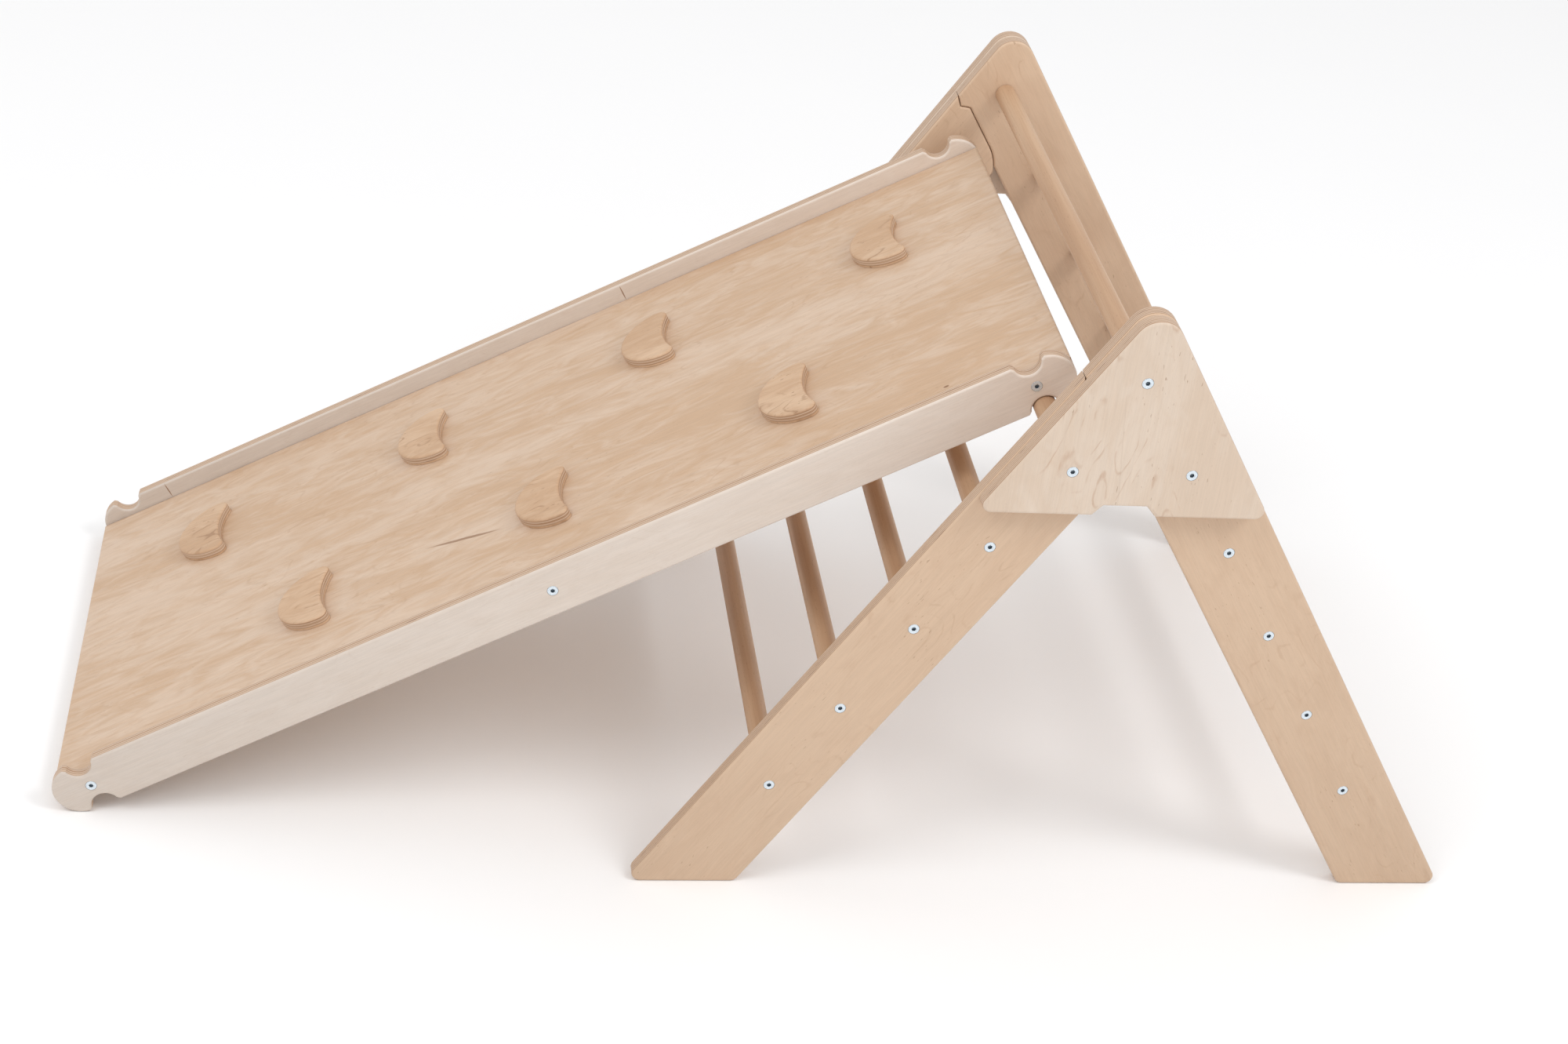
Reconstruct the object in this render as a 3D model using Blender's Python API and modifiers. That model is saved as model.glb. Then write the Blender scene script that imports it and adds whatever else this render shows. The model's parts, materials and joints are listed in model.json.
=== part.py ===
"""Folding climbing triangle with a hook-on toddler slide.

Metres, +Z up, +X from the slide's low end to the back feet, +Y to the user's left.
Two leg frames of plywood and round rungs meet at the pivot rung. The back frame
carries the side plates and the top rung, the front frame folds against it, and the
slide hangs on the pivot rung by the half-round notches of its side rails.
"""
from math import acos, asin, atan2, cos, hypot, pi, radians, sin, sqrt, tan

import bmesh
import bpy
from mathutils import Matrix, Vector

# Driving dimensions
OBJECT_NAME = "toddler_slide"
GAP = 0.0003                    # air between solids that touch on the real object

SPACING = 0.120                 # from rung to rung along a leg
RUNGS_PER_LEG = 5
LEG_TILT = radians(32.36)       # each leg from the vertical
PIVOT_HEIGHT = 0.5376           # pivot rung and first back rung above the floor
PIVOT_TO_BACK = 0.1216          # pivot rung to first back rung
LEG_WIDTH = 0.101
PLY = 0.018                     # legs and side plates
INNER_SPAN = 0.6752             # between the inner faces of the legs

STOP_RADIUS = 0.058             # pivot to the stop face where the front leg's head meets the back leg
HEAD_RADIUS = 0.082             # pivot to the top of the front leg's head
HEAD_STEP_BEARING = radians(86)     # where the head's top edge steps out to the leg's outer edge
HEAD_TIP_BEARING = radians(89.7)
CORNER_RADIUS = 0.009
APEX_RADIUS = 0.026
PLATE_BOTTOM = 0.4877           # height of the side plate's lower edge
PLATE_NOTCH = (0.065, 0.045, 0.0115)    # lower width, upper width and height
NOTCH_EASE = 0.003              # rounding of its corners, and of a hook notch's mouth

RUNG_RADIUS = 0.012
RUNG_EASE = 0.001
RAMP_LENGTH = 1.174
RAMP_WIDTH = 0.550
RAMP_SHIFT = 0.029              # the slide sits a little off the middle of the rung
RAIL_HEIGHT = 0.060
RAIL_PLY = 0.015
RAIL_ROUND_START = radians(80)  # where a rail's edge turns into its round end
DECK_PLY = 0.018
NOTCH_RADIUS = 0.015
NOTCH_TRIM = radians(12)        # of the half round, given to its eased mouth
NOTCH_SPACING = 1.088           # between the hook notches, and between the end screws

HOLD_PLY = 0.012
HOLD_RADIUS = 0.050             # convex back of a hold
HOLD_TIP_RADIUS = 0.009
HOLD_TIP_LEAN = radians(3)      # of its tips, towards its dished side
HOLD_WAIST = 0.0026             # dished side, from the centre of the convex back
HOLD_PITCH = 0.1449             # along the slide, from one row to the other
HOLD_FIRST = 0.4553             # the uppermost hold, from the slide's middle
HOLD_ROW = 0.1206               # each row from the slide's middle line
HOLD_COUNT = 7
HOLD_ROUND = 0.003

HEAD_R = 0.00575                # screw head
SHANK_R = 0.00275
RAIL_SHANK_R = 0.0020
COUNTERSINK = 0.0030            # depth of a screw head
RIM = 0.0004                    # its straight rim
SCREW_BITE = 0.035              # screw length inside a rung or the deck
SOCKET_R = 0.0028
SOCKET_DEPTH = 0.0022
HOLE_OVER = 0.002               # a hole cutter's length outside the panel

EDGE_ROUND = 0.0025             # of the plywood panels
EDGE_STEPS = 1
RUNG_SIDES = 20
SCREW_SIDES = 12
FILLET_STEPS = 4
STOP_STEPS = 6
HEAD_STEPS = 3
NOTCH_STEPS = 8
RAIL_END_STEPS = 5
DISH_STEPS = 4
TIP_STEPS = 5
BACK_STEPS = 10
FLAT_ANGLE = radians(0.5)       # faces flatter than this to each other are one face
WELD = 1e-6
AXIS_MARK = 0.05                # size of the empties that mark the bodies

# Derived sizes
HALF_SPAN = INNER_SPAN / 2
LEG_MIDDLE = HALF_SPAN + PLY / 2
PLATE_MIDDLE = HALF_SPAN + PLY + GAP + PLY / 2
OUTER_FACE = PLATE_MIDDLE + PLY / 2
RUNG_LENGTH = INNER_SPAN - 2 * GAP
HALF_WIDTH = LEG_WIDTH / 2
RAIL_HALF = RAIL_HEIGHT / 2
SEAT = RAIL_HALF - NOTCH_RADIUS + RUNG_RADIUS + GAP      # pivot rung below the rails' middle
RAIL_END = RAMP_LENGTH / 2 - RAIL_HALF                   # centre of a rail's round end
RAIL_MIDDLE = RAMP_WIDTH / 2 - RAIL_PLY / 2


def resting_angle():
    """Slope at which the hooked slide's round low end meets the floor."""
    reach = RAIL_END + NOTCH_SPACING / 2
    drop = PIVOT_HEIGHT - RAIL_HALF
    return asin(drop / hypot(reach, SEAT)) + atan2(SEAT, reach)


RAMP_ANGLE = resting_angle()


def frame_origin():
    """The pivot's x when the whole object is centred on x = 0."""
    reach = RAIL_END + NOTCH_SPACING / 2
    low_end = -reach * cos(RAMP_ANGLE) - SEAT * sin(RAMP_ANGLE) - RAIL_HALF
    foot = outer_corner(PIVOT_TO_BACK, 1)[0]
    return -(low_end + foot) / 2


def on_leg(distance, outward, side):
    """Point of a leg, from its first rung: down the leg and out from its middle line.

    side is -1 for the front leg and 1 for the back leg.
    """
    return (side * (distance * sin(LEG_TILT) + outward * cos(LEG_TILT)),
            -distance * cos(LEG_TILT) + outward * sin(LEG_TILT))


def at_floor(start, outward, side):
    """Where a leg's edge line meets the floor, with z from the pivot."""
    distance = (PIVOT_HEIGHT + outward * sin(LEG_TILT)) / cos(LEG_TILT)
    x, z = on_leg(distance, outward, side)
    return start + x, z


def outer_corner(start, side):
    """Outermost point of a rounded foot."""
    x, z = at_floor(start, HALF_WIDTH, side)
    return x - side * CORNER_RADIUS * (1 / tan(radians(45) - LEG_TILT / 2) - 1), z


# Outlines
def arc(centre, radius, start, end, steps):
    """Points of an arc, with both ends."""
    return [(centre[0] + radius * cos(start + (end - start) * i / steps),
             centre[1] + radius * sin(start + (end - start) * i / steps)) for i in range(steps + 1)]


def fillet(corner, before, after, radius):
    """Points of the arc that rounds one corner of an outline."""
    corner = Vector(corner)
    to_before = (Vector(before) - corner).normalized()
    to_after = (Vector(after) - corner).normalized()
    half = acos(max(-1.0, min(1.0, to_before.dot(to_after)))) / 2
    centre = corner + (to_before + to_after).normalized() * radius / sin(half)
    first = corner + to_before * radius / (sin(half) / cos(half)) - centre
    last = corner + to_after * radius / (sin(half) / cos(half)) - centre
    turn = first.angle_signed(last)
    start = atan2(first.y, first.x)
    return arc(centre, radius, start, start - turn, FILLET_STEPS)


def rounded(corners):
    """Outline from (x, z, radius) corners; a radius of 0 keeps the point as it is."""
    points = []
    for i, (x, z, radius) in enumerate(corners):
        if radius == 0:
            points.append((x, z))
            continue
        before = corners[i - 1][:2]
        after = corners[(i + 1) % len(corners)][:2]
        points += fillet((x, z), before, after, radius)
    return points


def plain(points):
    return [(x, z, 0) for x, z in points]


def apex_corner():
    """Sharp corner where the two outer edges would meet, from the pivot."""
    rise = PIVOT_TO_BACK / 2 / sin(LEG_TILT) * cos(LEG_TILT) + HALF_WIDTH / sin(LEG_TILT)
    return PIVOT_TO_BACK / 2, rise


def edge_point(bearing):
    """Point of the front leg's outer edge at a bearing from the pivot."""
    radius = HALF_WIDTH / cos(bearing - (pi - LEG_TILT))
    return radius * cos(bearing), radius * sin(bearing)


def front_leg_outline():
    shoulder = sqrt(STOP_RADIUS ** 2 - HALF_WIDTH ** 2)
    x, z = on_leg(-shoulder, -HALF_WIDTH, -1)
    stop_top = LEG_TILT + acos(STOP_RADIUS / HEAD_RADIUS)
    outline = [(*at_floor(0, HALF_WIDTH, -1), CORNER_RADIUS), (*at_floor(0, -HALF_WIDTH, -1), CORNER_RADIUS)]
    outline += plain(arc((0, 0), STOP_RADIUS, atan2(z, x), LEG_TILT, STOP_STEPS))
    outline += plain(arc((0, 0), HEAD_RADIUS, stop_top, HEAD_STEP_BEARING, HEAD_STEPS))
    outline += plain([edge_point(HEAD_TIP_BEARING)])
    return rounded(outline)


def back_leg_outline():
    stop = STOP_RADIUS + GAP
    head = HEAD_RADIUS + GAP
    stop_top = LEG_TILT + acos(stop / head)
    edge = PIVOT_TO_BACK * cos(LEG_TILT) - HALF_WIDTH
    stop_end = LEG_TILT - acos(edge / stop)
    outline = [(*at_floor(PIVOT_TO_BACK, -HALF_WIDTH, 1), CORNER_RADIUS),
               (*at_floor(PIVOT_TO_BACK, HALF_WIDTH, 1), CORNER_RADIUS),
               (*apex_corner(), APEX_RADIUS)]
    outline += plain([edge_point(HEAD_TIP_BEARING - GAP / HEAD_RADIUS)])
    outline += plain(arc((0, 0), head, HEAD_STEP_BEARING - GAP / head, stop_top, HEAD_STEPS))
    outline += plain(arc((0, 0), stop, LEG_TILT, stop_end, STOP_STEPS))
    return rounded(outline)


def plate_outline():
    z = PLATE_BOTTOM - PIVOT_HEIGHT
    middle = PIVOT_TO_BACK / 2
    half_base = middle + HALF_WIDTH / cos(LEG_TILT) - z * sin(LEG_TILT) / cos(LEG_TILT)
    wide, narrow, height = PLATE_NOTCH
    return rounded([(middle - half_base, z, CORNER_RADIUS),
                    (middle - wide / 2, z, NOTCH_EASE), (middle - narrow / 2, z + height, NOTCH_EASE),
                    (middle + narrow / 2, z + height, NOTCH_EASE), (middle + wide / 2, z, NOTCH_EASE),
                    (middle + half_base, z, CORNER_RADIUS), (*apex_corner(), APEX_RADIUS)])


def rail_outline():
    """Round-ended rail with a half-round notch above and below at each end."""
    notch = NOTCH_SPACING / 2
    flank = NOTCH_RADIUS + NOTCH_EASE
    quarter = [(notch - flank, RAIL_HALF)]
    quarter += arc((notch, RAIL_HALF), NOTCH_RADIUS, NOTCH_TRIM - pi, -NOTCH_TRIM, NOTCH_STEPS)
    quarter += arc((RAIL_END, 0), RAIL_HALF, RAIL_ROUND_START, 0, RAIL_END_STEPS)
    lower = [(x, -z) for x, z in reversed(quarter[:-1])]
    right = quarter + lower
    return right + [(-x, -z) for x, z in right]


def hold_outline():
    """Half disc with round tips and a dished straight side."""
    inset = HOLD_RADIUS - HOLD_TIP_RADIUS
    tip = (inset * sin(HOLD_TIP_LEAN), inset * cos(HOLD_TIP_LEAN))
    crown = pi / 2 - HOLD_TIP_LEAN
    shift = HOLD_WAIST - HOLD_TIP_RADIUS
    dish = (tip[0] ** 2 + tip[1] ** 2 - shift ** 2) / (2 * (tip[0] - shift))
    meet = atan2(-tip[1], dish - tip[0])
    upper = arc((dish, 0), dish - HOLD_WAIST, pi, pi + meet, DISH_STEPS)
    upper += arc(tip, HOLD_TIP_RADIUS, meet, crown, TIP_STEPS)[1:]
    upper += arc((0, 0), HOLD_RADIUS, crown, pi, BACK_STEPS)[1:]
    return upper + [(x, -y) for x, y in reversed(upper[1:-1])]


# Blender helpers
def clear_scene():
    for item in list(bpy.data.objects):
        bpy.data.objects.remove(item, do_unlink=True)


def new_collection(name):
    collection = bpy.data.collections.new(name)
    bpy.context.scene.collection.children.link(collection)
    return collection


def add_object(name, data, collection, parent=None, location=(0, 0, 0), rotation=(0, 0, 0)):
    item = bpy.data.objects.new(name, data)
    collection.objects.link(item)
    item.parent = parent
    item.location = location
    item.rotation_euler = rotation
    return item


def paint(item, look):
    """Give an object its own Principled material."""
    colour, roughness, metallic = look
    material = bpy.data.materials.new(item.name)
    material.use_nodes = True
    shader = material.node_tree.nodes["Principled BSDF"]
    shader.inputs["Base Color"].default_value = (*colour, 1)
    shader.inputs["Roughness"].default_value = roughness
    shader.inputs["Metallic"].default_value = metallic
    item.data.materials.clear()
    item.data.materials.append(material)


def evaluated_mesh(item):
    """A welded mesh of an object as it is evaluated, and the object removed."""
    graph = bpy.context.evaluated_depsgraph_get()
    mesh = bpy.data.meshes.new_from_object(item.evaluated_get(graph))
    bm = bmesh.new()
    bm.from_mesh(mesh)
    bmesh.ops.remove_doubles(bm, verts=bm.verts, dist=WELD)
    bmesh.ops.recalc_face_normals(bm, faces=bm.faces)
    bm.to_mesh(mesh)
    bm.free()
    bpy.data.objects.remove(item, do_unlink=True)
    return mesh


def panel_mesh(outline, thickness, rims=(-1, 1), edge=EDGE_ROUND):
    """A flat panel in local XY, with its rims rounded on the sides that rims names."""
    curve = bpy.data.curves.new("outline", "CURVE")
    curve.dimensions = "2D"
    curve.fill_mode = "BOTH"
    curve.extrude = thickness / 2
    spline = curve.splines.new("POLY")
    spline.points.add(len(outline) - 1)
    for point, (x, y) in zip(spline.points, outline):
        point.co = (x, y, 0, 1)
    spline.use_cyclic_u = True
    holder = add_object("outline", curve, bpy.context.scene.collection)
    bpy.context.view_layer.update()
    mesh = evaluated_mesh(holder)
    bm = bmesh.new()
    bm.from_mesh(mesh)
    bmesh.ops.dissolve_limit(bm, angle_limit=FLAT_ANGLE, verts=bm.verts, edges=bm.edges)
    levels = [side * thickness / 2 for side in rims]
    rim = [e for e in bm.edges if any(all(abs(v.co.z - z) < WELD for v in e.verts) for z in levels)]
    bmesh.ops.bevel(bm, geom=rim, offset=edge, segments=EDGE_STEPS, profile=0.5, affect="EDGES")
    bm.to_mesh(mesh)
    bm.free()
    return mesh


def turned_mesh(profile, steps):
    """A solid of revolution about local Z from (radius, z) points that end on the axis."""
    mesh = bpy.data.meshes.new("profile")
    mesh.from_pydata([(r, 0, z) for r, z in profile], [(i, i + 1) for i in range(len(profile) - 1)], [])
    holder = add_object("profile", mesh, bpy.context.scene.collection)
    screw = holder.modifiers.new("turn", "SCREW")
    screw.steps = steps
    screw.render_steps = steps
    screw.use_merge_vertices = True
    screw.merge_threshold = WELD
    bpy.context.view_layer.update()
    return evaluated_mesh(holder)


def cut(item, cutter_meshes, cutters):
    """Cut (mesh, matrix) pairs out of an object, with one joined cutter."""
    bm = bmesh.new()
    for mesh, matrix in cutter_meshes:
        piece = mesh.copy()
        piece.transform(matrix)
        bm.from_mesh(piece)
        bpy.data.meshes.remove(piece)
    joined = bpy.data.meshes.new(item.name + "_cutter")
    bm.to_mesh(joined)
    bm.free()
    cutter = add_object(item.name + "_cutter", joined, cutters, item.parent, item.location, item.rotation_euler)
    cutter.hide_render = True
    cutter.display_type = "WIRE"
    boolean = item.modifiers.new("holes", "BOOLEAN")
    boolean.operation = "DIFFERENCE"
    boolean.solver = "EXACT"
    boolean.object = cutter


# Looks: colour, roughness, metallic
BIRCH = ((0.71, 0.53, 0.39), 0.55, 0.0)
PALE_BIRCH = ((0.75, 0.61, 0.49), 0.55, 0.0)
BEECH = ((0.62, 0.41, 0.27), 0.50, 0.0)
ZINC = ((0.72, 0.72, 0.70), 0.30, 1.0)

SIDE_PLANE = (pi / 2, 0, 0)      # local XY of a panel to world XZ
RUNG_TURN = (pi / 2, 0, 0)       # local Z of a turned piece to world -Y


def rung_mesh():
    """A round rung with a pilot hole in each end."""
    half = RUNG_LENGTH / 2
    bore = SHANK_R + GAP
    depth = SCREW_BITE + GAP
    end = [(0, half - depth), (bore, half - depth), (bore, half), (RUNG_RADIUS - RUNG_EASE, half),
           (RUNG_RADIUS, half - RUNG_EASE)]
    return turned_mesh(end + [(r, -z) for r, z in reversed(end)], RUNG_SIDES)


def screw_mesh(length, shank):
    """A countersunk screw with a hexagon socket, its head's face at local z = 0, pointing down."""
    profile = [(0, 0), (HEAD_R, 0), (HEAD_R, -RIM), (shank, -COUNTERSINK), (shank, shank - length),
               (0, -length)]
    solid = add_object("screw", turned_mesh(profile, SCREW_SIDES), bpy.context.scene.collection)
    bm = bmesh.new()
    bmesh.ops.create_cone(bm, cap_ends=True, segments=6, radius1=SOCKET_R, radius2=SOCKET_R,
                          depth=2 * SOCKET_DEPTH)
    socket = bpy.data.meshes.new("socket")
    bm.to_mesh(socket)
    bm.free()
    cutter = add_object("socket", socket, bpy.context.scene.collection)
    boolean = solid.modifiers.new("socket", "BOOLEAN")
    boolean.solver = "EXACT"
    boolean.object = cutter
    bpy.context.view_layer.update()
    mesh = evaluated_mesh(solid)
    bpy.data.objects.remove(cutter, do_unlink=True)
    return mesh


def hole_mesh(length, shank, countersunk):
    """What a screw hole takes away: from local z = 0 down, wider by the gap than its screw."""
    top, bottom = HOLE_OVER, -length - HOLE_OVER
    radius = shank + GAP
    wide = HEAD_R + GAP * 1.5
    shaft = [(radius, bottom), (0, bottom)]
    if countersunk:
        profile = [(0, top), (wide, top), (wide, -RIM - GAP), (radius, -COUNTERSINK - GAP)] + shaft
    else:
        profile = [(0, top), (radius, top)] + shaft
    return turned_mesh(profile, SCREW_SIDES)


def facing(side):
    """Rotation that turns local +Z to the outside of side -1 or 1."""
    return Matrix.Rotation(-side * pi / 2, 4, "X")


def panel_hole(x, z, thickness, side):
    """Matrix of a hole that enters a side panel's outer face, in the panel's local axes."""
    top = -side * thickness / 2
    return Matrix.Translation((x, z, top)) @ Matrix.Rotation(pi if side > 0 else 0, 4, "X")


class Builder:
    """Makes the nodes of the object, body by body."""

    def __init__(self):
        self.parts = new_collection(OBJECT_NAME)
        self.cutters = new_collection("cutters")
        self.pivot_x = frame_origin()
        self.top = on_leg(-SPACING, 0, 1)
        self.back = [(PIVOT_TO_BACK + x, z) for x, z in (on_leg(i * SPACING, 0, 1) for i in range(RUNGS_PER_LEG))]
        self.front = [on_leg(i * SPACING, 0, -1) for i in range(RUNGS_PER_LEG)]
        self.top = (PIVOT_TO_BACK + self.top[0], self.top[1])
        self.rung = rung_mesh()
        self.long_screw = screw_mesh(2 * PLY + GAP + SCREW_BITE, SHANK_R)
        self.short_screw = screw_mesh(PLY + SCREW_BITE, SHANK_R)
        self.rail_screw = screw_mesh(RAIL_PLY + SCREW_BITE, RAIL_SHANK_R)
        self.countersunk = hole_mesh(PLY, SHANK_R, True)
        self.straight = hole_mesh(PLY, SHANK_R, False)

    def axis(self, name, rotation=(0, 0, 0)):
        """An empty on the pivot's axis, for the pieces of one body."""
        empty = add_object(name, None, self.parts, None, (self.pivot_x, 0, PIVOT_HEIGHT), rotation)
        empty.empty_display_size = AXIS_MARK
        return empty

    def node(self, name, mesh, parent, location, rotation, look):
        item = add_object(name, mesh, self.parts, parent, location, rotation)
        paint(item, look)
        return item

    def side_panel(self, name, outline, side, middle, parent, holes, look):
        """A leg or a side plate, with its screw holes."""
        item = self.node(name, panel_mesh(outline, PLY), parent, (0, side * middle, 0), SIDE_PLANE, look)
        cut(item, [(mesh, panel_hole(x, z, PLY, side)) for mesh, (x, z) in holes], self.cutters)

    def add_rung(self, name, place, parent):
        self.node(name, self.rung.copy(), parent, (place[0], 0, place[1]), RUNG_TURN, BEECH)

    def add_screw(self, name, mesh, place, face, side, parent):
        location = (place[0], side * face, place[1])
        item = self.node(name, mesh.copy(), parent, location, (0, 0, 0), ZINC)
        item.rotation_euler = facing(side).to_euler()

    def back_frame(self):
        body = self.axis("back_frame_axis")
        holes = [(self.straight, self.top), (self.straight, self.back[0])]
        holes += [(self.countersunk, place) for place in self.back[1:]]
        plate_holes = [(self.countersunk, place) for place in (self.top, self.front[0], self.back[0])]
        leg_face = HALF_SPAN + PLY
        for word, side in (("right", -1), ("left", 1)):
            self.side_panel(f"back_leg_{word}", back_leg_outline(), side, LEG_MIDDLE, body, holes, BIRCH)
            self.side_panel(f"side_plate_{word}", plate_outline(), side, PLATE_MIDDLE, body, plate_holes,
                            PALE_BIRCH)
            self.add_screw(f"top_screw_{word}", self.long_screw, self.top, OUTER_FACE, side, body)
            self.add_screw(f"back_screw_1_{word}", self.long_screw, self.back[0], OUTER_FACE, side, body)
            for i, place in enumerate(self.back[1:], 2):
                self.add_screw(f"back_screw_{i}_{word}", self.short_screw, place, leg_face, side, body)
        self.add_rung("top_rung", self.top, body)
        for i, place in enumerate(self.back, 1):
            self.add_rung(f"back_rung_{i}", place, body)

    def front_frame(self):
        body = self.axis("front_frame_axis")
        holes = [(self.straight, self.front[0])] + [(self.countersunk, place) for place in self.front[1:]]
        for word, side in (("right", -1), ("left", 1)):
            self.side_panel(f"front_leg_{word}", front_leg_outline(), side, LEG_MIDDLE, body, holes, BIRCH)
            for i, place in enumerate(self.front[1:], 2):
                self.add_screw(f"front_screw_{i}_{word}", self.short_screw, place, HALF_SPAN + PLY, side, body)
        for i, place in enumerate(self.front[1:], 2):
            self.add_rung(f"front_rung_{i}", place, body)

    def pivot(self):
        body = self.axis("pivot_axis")
        self.add_rung("pivot_rung", (0, 0), body)
        for word, side in (("right", -1), ("left", 1)):
            self.add_screw(f"pivot_screw_{word}", self.long_screw, (0, 0), OUTER_FACE, side, body)

    def ramp(self):
        """The slide, in axes along its length (x), across it (y) and out of its deck (z)."""
        body = self.axis("ramp_axis", (0, -RAMP_ANGLE, 0))
        middle = Vector((-NOTCH_SPACING / 2, RAMP_SHIFT, SEAT))
        stations = [(i * NOTCH_SPACING / 2, 0) for i in (-1, 0, 1)]
        hole = hole_mesh(RAIL_PLY, RAIL_SHANK_R, True)
        for word, side in (("right", -1), ("left", 1)):
            rail = self.node(f"rail_{word}", panel_mesh(rail_outline(), RAIL_PLY), body,
                             middle + Vector((0, side * RAIL_MIDDLE, 0)), SIDE_PLANE, PALE_BIRCH)
            cut(rail, [(hole, panel_hole(x, z, RAIL_PLY, side)) for x, z in stations], self.cutters)
            for i, (x, z) in enumerate(stations, 1):
                item = self.node(f"rail_screw_{i}_{word}", self.rail_screw.copy(), body,
                                 middle + Vector((x, side * RAMP_WIDTH / 2, z)), (0, 0, 0), ZINC)
                item.rotation_euler = facing(side).to_euler()
        self.deck(body, middle, stations)
        self.holds(body, middle)

    def deck(self, body, middle, stations):
        half_x = RAMP_LENGTH / 2
        half_y = RAMP_WIDTH / 2 - RAIL_PLY - GAP
        outline = [(-half_x, -half_y), (half_x, -half_y), (half_x, half_y), (-half_x, half_y)]
        deck = self.node("deck", panel_mesh(outline, DECK_PLY), body, middle, (0, 0, 0), BIRCH)
        bore = hole_mesh(SCREW_BITE, RAIL_SHANK_R, False)
        places = [(bore, Matrix.Translation((x, side * half_y, 0)) @ facing(side))
                  for x, z in stations for side in (-1, 1)]
        cut(deck, places, self.cutters)

    def holds(self, body, middle):
        """Holds in two staggered rows; the first is at the top of the left row."""
        height = DECK_PLY / 2 + GAP + HOLD_PLY / 2
        mesh = panel_mesh(hold_outline(), HOLD_PLY, rims=(1,), edge=HOLD_ROUND)
        for i in range(HOLD_COUNT):
            side = 1 if i % 2 == 0 else -1
            place = middle + Vector((HOLD_FIRST - i * HOLD_PITCH, side * HOLD_ROW, height))
            self.node(f"hold_{i + 1}", mesh.copy(), body, place, (0, 0, 0), BIRCH)


def build():
    clear_scene()
    builder = Builder()
    builder.back_frame()
    builder.front_frame()
    builder.pivot()
    builder.ramp()
    bpy.context.view_layer.update()


build()
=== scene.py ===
import json
from math import acos, atan2, cos, pi, radians, sin, sqrt

import bmesh
import bpy
from mathutils import Matrix, Vector


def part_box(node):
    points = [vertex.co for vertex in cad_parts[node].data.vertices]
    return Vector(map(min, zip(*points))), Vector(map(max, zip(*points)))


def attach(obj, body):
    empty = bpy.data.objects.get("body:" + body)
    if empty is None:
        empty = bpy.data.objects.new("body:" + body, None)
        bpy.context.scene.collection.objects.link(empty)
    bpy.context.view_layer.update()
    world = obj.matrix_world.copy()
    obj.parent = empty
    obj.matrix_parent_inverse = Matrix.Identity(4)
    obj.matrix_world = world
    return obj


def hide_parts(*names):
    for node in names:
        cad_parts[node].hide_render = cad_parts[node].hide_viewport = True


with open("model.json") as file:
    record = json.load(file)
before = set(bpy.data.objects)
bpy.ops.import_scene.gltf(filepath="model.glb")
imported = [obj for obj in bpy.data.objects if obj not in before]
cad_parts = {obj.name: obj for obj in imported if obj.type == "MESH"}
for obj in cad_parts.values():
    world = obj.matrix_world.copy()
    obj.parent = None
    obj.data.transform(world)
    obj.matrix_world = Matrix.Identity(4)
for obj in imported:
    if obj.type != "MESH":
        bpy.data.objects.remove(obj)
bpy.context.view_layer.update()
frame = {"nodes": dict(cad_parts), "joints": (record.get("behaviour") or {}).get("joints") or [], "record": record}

X, Y, Z = Vector((1, 0, 0)), Vector((0, 1, 0)), Vector((0, 0, 1))

# Sizes that the frame's boxes don't show (metres)
GAP = 0.0003                    # air between solids that touch
LEG_WIDTH = 0.101
STOP_RADIUS = 0.058             # pivot to the stop face between the front leg's head and the back leg
HEAD_RADIUS = 0.082             # pivot to the top of the front leg's head
HEAD_STEP_BEARING = radians(86)
HEAD_TIP_BEARING = radians(89.7)
CORNER_RADIUS = 0.009
APEX_RADIUS = 0.026
PLATE_NOTCH = (0.065, 0.045, 0.0115)    # lower width, upper width and height
NOTCH_EASE = 0.003
NOTCH_RADIUS = 0.015
NOTCH_TRIM = radians(12)
RAIL_HALF = 0.030
RAIL_ROUND_START = radians(80)
HOLD_RADIUS = 0.050
HOLD_TIP_RADIUS = 0.009
HOLD_TIP_LEAN = radians(3)
HOLD_WAIST = 0.0026
DECK_PLY = 0.018
HOLD_PLY = 0.012
PANEL_EASE = 0.0032             # rounding of the thick panels' edges
RAIL_EASE = 0.0028
HOLD_EASE = 0.0030
EASE_STEPS = 4
COUNTERSINK = 0.0030
HEAD_RIM = 0.0004
HEAD_EASE = 0.0002
SOCKET_RADIUS = 0.0028
SOCKET_DEPTH = 0.0022
SOCKET_TAPER = 0.8
SOCKET_TURN = 0.37              # radians that each screw's socket is turned from the last one's
SHANK = 0.00275
RAIL_SHANK = 0.0020
HOLE_OVER = 0.002               # how far a cutter stands out of the panel
BORE_DEPTH = 0.0353             # pilot hole in a rung's end
RUNG_EASE = 0.0012
SHARP_ANGLE = radians(28)

# Steps of the arcs and of the turned pieces
FILLET_STEPS = 14
STOP_STEPS = 18
HEAD_STEPS = 8
NOTCH_STEPS = 28
RAIL_ROUND_STEPS = 20
HOLD_DISH_STEPS = 14
HOLD_TIP_STEPS = 16
HOLD_BACK_STEPS = 36
SCREW_STEPS = 40
RUNG_STEPS = 72


# Places and sizes that come from the frame
def middle(node):
    low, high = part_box(node)
    return (low + high) / 2


def extent(node):
    low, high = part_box(node)
    return high - low


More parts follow.
